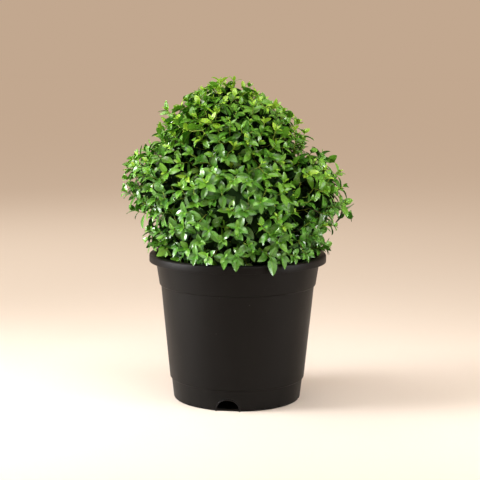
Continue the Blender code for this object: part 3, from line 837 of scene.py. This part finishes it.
def make_trunk(bark):
    """The trunk, from its lobed flare to its tip."""
    shares = [(level / (TRUNK_RINGS - 1)) ** TRUNK_RING_POWER for level in range(TRUNK_RINGS)]
    middles = [trunk_point(share) for share in shares]
    points = []
    for share, middle in zip(shares, middles):
        for side in range(TRUNK_SIDES):
            angle = tau * side / TRUNK_SIDES
            out = Vector((cos(angle), sin(angle), 0.0))
            points.append(middle + trunk_radius(share, angle) * out)
    rough = with_bark(points, middles, TRUNK_SIDES)
    faces = ring_faces(TRUNK_RINGS, TRUNK_SIDES)
    place_piece(new_piece("trunk_bark", rough, faces, [bark]), "bark", "trunk")


def make_boughs(bark):
    """The boughs, their feet sunk in the trunk."""
    parts = []
    names = [mass for mass, (_, height) in MASSES.items() if height]
    for mass in names:
        path = bough_path(mass, BOUGH_RINGS)
        radii = [bough_radius(number / (BOUGH_RINGS - 1)) for number in range(BOUGH_RINGS)]
        points, faces = tube(path, radii, BOUGH_SIDES)
        parts.append((with_bark(points, path, BOUGH_SIDES), faces))
    piece = new_piece("boughs_bark", *joined(parts), [bark])
    place_piece(piece, "bark", *[f"bough_{mass}" for mass in names])


# ---- the crown's space


def in_crown(point, slack=0.0):
    """Whether a point is inside the crown's outline, or within slack of it."""
    for centre, half in LOBES:
        x = (point.x - centre.x) / (half.x + slack)
        y = (point.y - centre.y) / (half.y + slack)
        z = (point.z - centre.z) / (half.z + slack)
        if x * x + y * y + z * z <= 1.0:
            return True
    return False


def crown_surface(direction):
    """Where a ray from the crown's middle leaves the crown's outline."""
    reach = CROWN_REACH
    while reach > 0 and not in_crown(CROWN_MIDDLE + reach * direction):
        reach -= MARCH_STEP
    return CROWN_MIDDLE + reach * direction


def hollow_share(point):
    """How far the crown falls back at a point of its front, from 0 to 1."""
    if point.y > HOLLOW_BACK:
        return 0.0
    near = (hypot(point.x - x, point.z - z) / radius for x, z, radius in HOLLOWS)
    return max(exp(-share * share) for share in near)


def stem_start(mass):
    """The foot of a mass's stem and its direction, just clear of the limb that carries it."""
    if MASSES[mass][1] is None:
        return TRUNK_TIP + CLEARANCE * UP, UP.copy()
    path = bough_path(mass)
    way = (path[-1] - path[-2]).normalized()
    return path[-1] + CLEARANCE * way, way


def nearest_mass(point):
    """The mass in whose space a point lies."""
    return min(MASSES, key=lambda mass: (point - Vector(MASSES[mass][0])).length_squared)


def clear_of_pot(point):
    """Whether a point is above the rim, outside it, or inside it above the potting mix."""
    radius = hypot(point.x, point.y)
    if point.z > POT_HEIGHT + LIMB_MARGIN:
        return True
    if radius > RIM_RADIUS + LIMB_MARGIN:
        return point.z > POT_HEIGHT - 3 * RIM_HEIGHT
    return radius < NECK_RADIUS - 2 * WALL and point.z > MIX_TOP + LIMB_MARGIN


def limb_segments():
    """The trunk and the boughs as straight pieces with a radius each."""
    shares = [number / TRUNK_SEGMENTS for number in range(TRUNK_SEGMENTS + 1)]
    segments = [
        (trunk_point(low), trunk_point(high), trunk_radius(low))
        for low, high in zip(shares, shares[1:])
    ]
    for mass, (_, height) in MASSES.items():
        if height:
            path = bough_path(mass)
            segments += [(low, high, BOUGH_FOOT_RADIUS) for low, high in zip(path, path[1:])]
    return segments


def clear_of_limbs(point, segments):
    """Whether a point is clear of the trunk and every bough."""
    for low, high, radius in segments:
        along = high - low
        share = part_way((point - low).dot(along), 0.0, along.length_squared)
        if (point - low - share * along).length < radius + LIMB_MARGIN:
            return False
    return True


def outwards(point):
    """The way out of the crown at this point."""
    return (point - CROWN_MIDDLE).normalized()


# ---- growth


def any_direction(chance):
    """A direction, evenly spread over the sphere."""
    height = chance.uniform(-1.0, 1.0)
    turn = chance.uniform(0.0, tau)
    level = sqrt(1.0 - height * height)
    return Vector((level * cos(turn), level * sin(turn), height))


def new_tip(place, way, kind, hang=0.0):
    """A shoot's tip: its place, its way there, its kind and the length of its hanging leaf."""
    return {"place": place, "way": way.normalized(), "kind": kind, "hang": hang}


def front_turn(turn):
    """The level way out at this turn from the front."""
    return Vector((sin(turn), -cos(turn), 0.0))


def hang_place(out):
    """Where a shoot with a hanging leaf ends, over the rim."""
    return HANG_RADIUS * out + (POT_HEIGHT + HANG_RISE) * UP


def rim_tips(chance):
    """Shoots that end just over the rim, some of them with a leaf that hangs down over it."""
    tips = []
    for degrees, length in RIM_HANGERS:
        out = front_turn(radians(degrees))
        tips.append(new_tip(hang_place(out), out + HANG_LIFT * UP, "rim", length))
    for number in range(RIM_COUNT):
        turn = tau * (number + chance.uniform(-0.35, 0.35)) / RIM_COUNT
        if RIM_GAP[0] < turn - tau < RIM_GAP[1]:
            continue
        out = front_turn(turn)
        radius = RIM_TIP_RADIUS + chance.uniform(-0.010, 0.004)
        rise = POT_HEIGHT + RIM_TIP_RISE + chance.uniform(-0.004, 0.006)
        place = radius * out + rise * UP
        if all((place - tip["place"]).length > RIM_TIP_SPACING for tip in tips):
            hangs = chance.random() < HANG_SHARE and out.y > 0.0
            hang = chance.uniform(*HANG_LENGTHS) if hangs else 0.0
            if hang:
                place = hang_place(out)
            tips.append(new_tip(place, out + chance.uniform(-0.2, 0.3) * UP, "rim", hang))
    return tips


def clump(point):
    """How far the crown sinks between its clumps at a point, in shares of their depth."""
    return max(0.0, CLUMP_LEVEL - CLUMP_SWING * noise.noise(point / CLUMP_SIZE))


def scattered_tips(tips, kind, spacing, trials, depths, chance):
    """More tips between those there are, at these depths under the crown's outline."""
    cut_z, cut_rise, cut = TOP_SINK_CUT
    close_z, close_rise, closer = TOP_CLOSER
    own = []
    for _ in range(trials):
        out = any_direction(chance)
        surface = crown_surface(out)
        sink = (1.0 - cut * part_way(surface.z, cut_z, cut_rise)) * CLUMP_DEPTH * clump(surface)
        sink += HOLLOW_DEPTH * hollow_share(surface)
        tip = surface - (chance.uniform(*depths) + (sink if kind == "outer" else 0.0)) * out
        lean = chance.uniform(*TIP_LEANS) * part_way(tip.z, LOWEST_TIP, TIP_LEAN_RISE)
        jitter = any_direction(chance)
        if tip.z < LOWEST_TIP or not clear_of_pot(tip):
            continue
        near = spacing * (1.0 - closer * part_way(tip.z, close_z, close_rise))
        if all((tip - other["place"]).length >= near for other in tips + own):
            own.append(new_tip(tip, outwards(tip) + lean * UP + TIP_JITTER * jitter, kind))
    return own


def stray_tips(chance):
    """Shoots that stand out of the crown's outline."""
    tips = []
    for x, z in STRAYS:
        edge = Vector((x, chance.uniform(*STRAY_PLACES), z))
        out = outwards(edge)
        tips.append(new_tip(edge - STRAY_DEPTH * out, out + STRAY_LIFT * UP, "stray"))
    return tips


def all_tips(chance):
    """Every shoot of the crown."""
    tips = rim_tips(chance) + stray_tips(chance)
    tips += scattered_tips(tips, "outer", SHOOT_SPACING, SHOOT_TRIALS, SHOOT_DEPTHS, chance)
    inner = []
    for spacing, trials, depths in INNER_LAYERS:
        inner += scattered_tips([], "inner", spacing, trials, depths, chance)
    return tips + inner


def curved_run(origin, leaving, tip, way):
    """A smooth run from a point of another twig to a tip, bending towards the shoot's own way."""
    reach = (tip - origin).length
    straight = (tip - origin).normalized()
    start = (straight + 0.35 * leaving).normalized()
    handles = (origin, origin + 0.3 * reach * start, tip - 0.36 * reach * way, tip)
    count = max(3, round(reach / PATH_STEP))
    path = []
    for step in range(count + 1):
        t = step / count
        weights = ((1 - t) ** 3, 3 * t * (1 - t) ** 2, 3 * t * t * (1 - t), t**3)
        path.append(sum((weight * handle for weight, handle in zip(weights, handles)), Vector()))
    return path


def grow_twigs(mass, tips):
    """A mass's twigs, each with its path, its carrier, the number of tips it feeds and its kind.

    Each tip, nearest first, starts from the node with the shortest way to it, where part of the
    way from there back to the bough counts too.
    """
    foot, way = stem_start(mass)
    head = foot + STEM_LENGTH * way
    stem = [foot - STEM_SINK * way, foot.lerp(head, 0.5), head]
    twigs = [{"path": stem, "carrier": None, "fed": 0, "kind": "stem"}]
    nodes = [(head, STEM_LENGTH, 0, way)]
    for tip in sorted(tips, key=lambda entry: (entry["place"] - foot).length):
        place = tip["place"]
        costs = [(place - node[0]).length + BALANCE * node[1] for node in nodes]
        origin, way_back, carrier, leaving = nodes[costs.index(min(costs))]
        path = curved_run(origin, leaving, place, tip["way"])
        number = len(twigs)
        twigs.append({**tip, "path": path, "carrier": carrier, "fed": 0})
        run = 0.0
        for before, after in zip(path, path[1:]):
            run += (after - before).length
            nodes.append((after, way_back + run, number, (after - before).normalized()))
        while number is not None:
            twigs[number]["fed"] += 1
            number = twigs[number]["carrier"]
    return twigs


def twig_radius(fed):
    """How thick a twig is that feeds this many tips."""
    return TIP_RADIUS * max(1, fed) ** PIPE_POWER


def steps_back(path):
    """The steps of a path from its end to its start, each as its first and second point."""
    return zip(reversed(path[:-1]), reversed(path[1:]))


def twig_parts(twig):
    """A twig's woody inner tube and its green outer tube, each as (points, faces) or None."""
    path = twig["path"]
    lengths = [0.0]
    for before, after in steps_back(path):
        lengths.append(lengths[-1] + (after - before).length)
    from_tip = list(reversed(lengths))
    foot = twig_radius(twig["fed"])
    radii = [TIP_RADIUS + (foot - TIP_RADIUS) * back / max(from_tip) for back in from_tip]
    if twig["kind"] == "stem":
        return tube(path, [foot] * len(path), TWIG_SIDES), None
    split = next(number for number, back in enumerate(from_tip) if back <= GREEN_LENGTH)
    green = tube(path[split:], radii[split:], TWIG_SIDES) if len(path) - split > 1 else None
    woody = tube(path[: split + 1], radii[: split + 1], TWIG_SIDES) if split > 0 else None
    return woody, green


# ---- leaves


def blade_width(share):
    """How wide a leaf is at a place along it, as a share of its greatest width."""
    blade = max(0.0, (share - STALK_SHARE) / (1 - STALK_SHARE))
    width = sin(pi * min(1.0, blade**0.8)) ** 0.85 if blade < 1 else 0.0
    return max(width, STALK_WIDTH)


def leaf_template(grid):
    """The faces of a leaf with this grid, and which of them are its midrib."""
    rows, stations = grid
    across = len(stations)
    tip = len(rows) * across
    under = tip + 1
    faces, ribs = [], []
    for row in range(len(rows)):
        last = row == len(rows) - 1
        for place in range(across - 1):
            here = row * across + place
            far = (tip,) if last else (here + across, here + across + 1)
            faces.append((here, *far, here + 1))
            ribs.append(stations[place] == -RIB_SHARE)
        left, right = row * across, row * across + across - 1
        if last:
            faces += [(under + row, tip, left), (right, tip, under + row)]
        else:
            faces.append((under + row, under + row + 1, left + across, left))
            faces.append((right, right + across, under + row + 1, under + row))
        ribs += [False, False]
    faces.append((*range(across), under))
    ribs.append(False)
    return faces, ribs


def leaf_points(leaves, grid):
    """The corners of many leaves at once, as an array of leaves by corners by three."""
    rows, stations = grid
    root, along, normal = (
        np.array([leaf[key] for leaf in leaves]) for key in ("root", "along", "normal")
    )
    across = np.cross(normal, along)
    measures = [[leaf[key] for key in ("length", "width", *LEAF_FORMS)] for leaf in leaves]
    length, width, fold, cup, bend, twist = np.array(measures).T[:, :, None]
    places = [(row, station) for row in rows for station in stations] + [(1.0, 0.0)]
    places += [(row, 0.0) for row in rows]
    share, station = np.array(places).T[:, None, :]
    half = 0.5 * width * np.array([blade_width(place[0]) for place in places])[None, :]
    under = np.zeros(len(places))
    under[-len(rows):] = 1.0
    y = station * half
    out = np.abs(y)
    z = fold * out - cup * out * out / (0.5 * width) - under[None, :] * LEAF_THICKNESS
    spin = twist * share
    y, z = y * np.cos(spin) - z * np.sin(spin), y * np.sin(spin) + z * np.cos(spin)
    turn = bend * share
    x = length * np.sin(turn) / bend + z * np.sin(turn)
    z = z * np.cos(turn) - length * (1 - np.cos(turn)) / bend
    frame = x[:, :, None] * along[:, None, :] + y[:, :, None] * across[:, None, :]
    return root[:, None, :] + frame + z[:, :, None] * normal[:, None, :]


def leaf_piece(name, leaves, grid, materials):
    """One mesh of many leaves."""
    faces, ribs = leaf_template(grid)
    points = leaf_points(leaves, grid)
    count = points.shape[1]
    all_faces = []
    for number in range(len(leaves)):
        start = number * count
        all_faces += [tuple(corner + start for corner in face) for face in faces]
    slots = [1 if rib and len(materials) > 1 else 0 for rib in ribs] * len(leaves)
    return new_piece(name, points.reshape(-1, 3).tolist(), all_faces, materials, slots, 60.0)


def leaf_fits(leaf, segments, slack):
    """Whether a leaf keeps to the crown's outline and off the limbs, the pot and the hollows."""
    along = leaf["length"] * leaf["along"]
    side = leaf["along"].cross(leaf["normal"]) * leaf["width"] / 2
    middle = leaf["root"] + 0.5 * along
    tip = leaf["root"] + along - 0.2 * leaf["length"] * leaf["normal"]
    for point in (middle + side, middle - side, middle, tip):
        if not in_crown(point, slack - 0.8 * HOLLOW_DEPTH * hollow_share(point)):
            return False
        if not clear_of_pot(point):
            return False
    return clear_of_limbs(middle, segments)


def leaf_kind(pair, tone, kind, height):
    """Which colour a leaf takes, dealt out by spray: younger towards the tip of a pale shoot, and
    younger and paler higher up, which is partly painted light on the crown's top.
    """
    # Leaves deep inside take the near-black inner green, which is painted shade
    if kind == "inner":
        return "inner"
    # Partly painted light: higher leaves count younger and take paler greens, so the crown's top is
    # lighter and its lower part darker
    age = pair + tone - (HIGH_YOUTH_AND_LIGHT if height > 0 else LOW_YOUTH_AND_LIGHT) * height
    age += RIM_AGE if kind == "rim" else 0.0
    return next((name for name, limit in AGE_LIMITS if age < limit), "deep")


def path_point(path, back):
    """The point and direction at a distance back from a path's end, or None past its start."""
    for before, after in steps_back(path):
        step = (after - before).length
        if back <= step:
            return after.lerp(before, back / step), (after - before).normalized()
        back -= step
    return None


def new_leaf(joint, along, upper, length, chance, bend=0.0):
    """A leaf from its joint, along its midrib, with its upper face towards upper."""
    along = along.normalized()
    leaf = {
        "root": joint,
        "along": along,
        "normal": (upper - upper.dot(along) * along).normalized(),
        "length": length,
        "width": length / (LEAF_SLIMNESS * chance.uniform(*LEAF_SLIMNESS_SPREAD)),
    }
    leaf.update({form: chance.uniform(*limits) for form, limits in LEAF_FORMS.items()})
    leaf["bend"] += bend
    return leaf


def hanging_leaf(twig, chance):
    """The leaf at a rim shoot's tip that hangs over the pot's rim."""
    tip = twig["path"][-1]
    out = Vector((tip.x, tip.y, 0.0)).normalized()
    upper = out + 0.35 * UP + 0.1 * any_direction(chance)
    leaf = new_leaf(tip, 0.42 * out - 0.90 * UP, upper, twig["hang"], chance)
    leaf["bend"] = chance.uniform(*HANGING_BENDS)
    return leaf


def shoot_leaves(twig, segments, leaves, chance):
    """Deals a shoot's leaves: opposite pairs, each a quarter turn from the last."""
    kind = twig["kind"]
    path = twig["path"]
    pairs, slack = SHOOT_KINDS[kind]
    vigour = chance.uniform(*VIGOURS)
    tone = chance.uniform(*TONES)
    way = (path[-1] - path[-2]).normalized()
    side = way.cross(UP) if abs(way.z) < 0.9 else way.orthogonal()
    side.normalize()
    side.rotate(Matrix.Rotation(chance.uniform(0, pi), 3, way))
    height = max(LEAST_HEIGHT, (path[-1].z - CROWN_MID_Z) / CROWN_HALF_RISE)
    vigour *= 1.0 - TOP_VIGOUR_CUT * max(0.0, height)
    if twig["hang"]:
        leaves["mature"].append(hanging_leaf(twig, chance))
    sky_pull, out_pull, chance_pull = UPPER_PULLS
    for number, (back, size, degrees) in enumerate(pairs):
        found = path_point(path, back * vigour)
        if found is None:
            break
        joint, stem = found
        side = (side - side.dot(stem) * stem).normalized()
        for hand in (1, -1):
            angle = radians(degrees) * chance.uniform(0.82, 1.14)
            along = cos(angle) * stem + sin(angle) * hand * side
            along += 0.12 * any_direction(chance) - LEAF_DROOP * min(1.0, number / 3) * UP
            upper = stem + sky_pull * UP + out_pull * outwards(joint)
            upper += chance_pull * any_direction(chance)
            length = size * vigour * chance.uniform(0.86, 1.12)
            for shrink in LEAF_SHRINKS:
                leaf = new_leaf(joint, along, upper, length * shrink, chance, 0.1 * number)
                if leaf_fits(leaf, segments, slack):
                    leaves[leaf_kind(number, tone, kind, height)].append(leaf)
                    break
        side.rotate(Matrix.Rotation(pi / 2 + chance.uniform(-0.2, 0.2), 3, stem))


def make_twigs(twigs, bark):
    """The woody and the green parts of all twigs, as two pieces."""
    woody, green = zip(*[twig_parts(twig) for twig in twigs])
    skin = stem_material()
    looks = (("twigs_woody", woody, bark, "bark"), ("twigs_green", green, skin, "foliage"))
    for name, parts, material, slot in looks:
        piece = new_piece(name, *joined([part for part in parts if part]), [material])
        place_piece(piece, slot)


def make_leaves(leaves):
    """The leaves of each colour, in pieces of a bearable size."""
    nodes = [f"foliage_{mass}" for mass in MASSES]
    for kind, own in leaves.items():
        # The inner leaves, painted shade in near-black green, get the plain grid and a matte gloss
        plain = kind == "inner"
        grid, gloss = (PLAIN_GRID, INNER_GLOSS) if plain else (FINE_GRID, LEAF_GLOSS)
        materials = [leaf_material(f"leaf_{kind}", LEAF_COLOURS[kind], *gloss)]
        if not plain:
            materials.append(leaf_material(f"midrib_{kind}", RIB_COLOURS[kind], *RIB_GLOSS))
        most = PIECE_TRIANGLES // sum(len(face) - 2 for face in leaf_template(grid)[0])
        for number, start in enumerate(range(0, len(own), most), 1):
            some = own[start:start + most]
            piece = leaf_piece(f"leaves_{kind}_{number}", some, grid, materials)
            place_piece(piece, "foliage", *nodes)
            nodes = []


def make_foliage(bark):
    """Twigs and leaves of every mass."""
    chance = random.Random(SEED)
    tips = all_tips(chance)
    segments = limb_segments()
    twigs = []
    leaves = {kind: [] for kind in LEAF_COLOURS}
    for mass in MASSES:
        own = grow_twigs(mass, [tip for tip in tips if nearest_mass(tip["place"]) == mass])
        for twig in own[1:]:
            shoot_leaves(twig, segments, leaves, chance)
        twigs += own
    make_twigs(twigs, bark)
    make_leaves(leaves)


# ---- studio


def make_camera():
    """The camera, at the height and distance of a seated viewer with a long lens."""
    data = bpy.data.cameras.new("camera")
    data.lens = CAMERA_LENS
    camera = new_object("camera", data)
    back = Vector((0.0, -cos(CAMERA_PITCH), sin(CAMERA_PITCH)))
    camera.location = CAMERA_TARGET + CAMERA_DISTANCE * back
    upright = Matrix.Rotation(pi / 2 - CAMERA_PITCH, 3, "X")
    camera.rotation_euler = (upright @ Matrix.Rotation(CAMERA_ROLL, 3, "Z")).to_euler()
    bpy.context.scene.camera = camera


def area_light(name, place, faced, size, power, colour, spread_degrees):
    """A soft light of this width and height that faces a height of the pot's axis."""
    data = bpy.data.lights.new(name, "AREA")
    data.shape = "RECTANGLE"
    data.size, data.size_y = size
    data.spread = radians(spread_degrees)
    data.energy = power
    data.color = colour
    light = new_object(name, data)
    light.location = place
    light.rotation_euler = (faced * UP - Vector(place)).to_track_quat("-Z", "Y").to_euler()


def make_studio():
    """A pale floor, a warm pale world and soft lights, most of them from the upper left."""
    build = bmesh.new()
    bmesh.ops.create_circle(build, cap_ends=True, segments=96, radius=FLOOR_RADIUS)
    mesh = bpy.data.meshes.new("floor")
    build.to_mesh(mesh)
    build.free()
    mesh.materials.append(floor_material())
    floor = new_object("floor", mesh)
    world = bpy.data.worlds.new("studio")
    world.use_nodes = True
    background = world.node_tree.nodes["Background"]
    background.inputs["Color"].default_value = WORLD_COLOUR
    background.inputs["Strength"].default_value = 1.0
    bpy.context.scene.world = world
    bpy.context.scene.view_settings.view_transform = "Standard"
    sun = bpy.data.lights.new("sky_light", "SUN")
    sun.energy = SUN_POWER
    sun.angle = SUN_ANGLE
    sun.color = WARM_WHITE
    new_object("sky_light", sun).rotation_euler = SUN_WAY.to_track_quat("-Z", "Y").to_euler()
    for light in LIGHTS:
        area_light(*light)


def main():
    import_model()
    make_camera()
    make_studio()
    bark = bark_material()
    make_pot()
    make_mix()
    make_trunk(bark)
    make_boughs(bark)
    make_foliage(bark)


main()
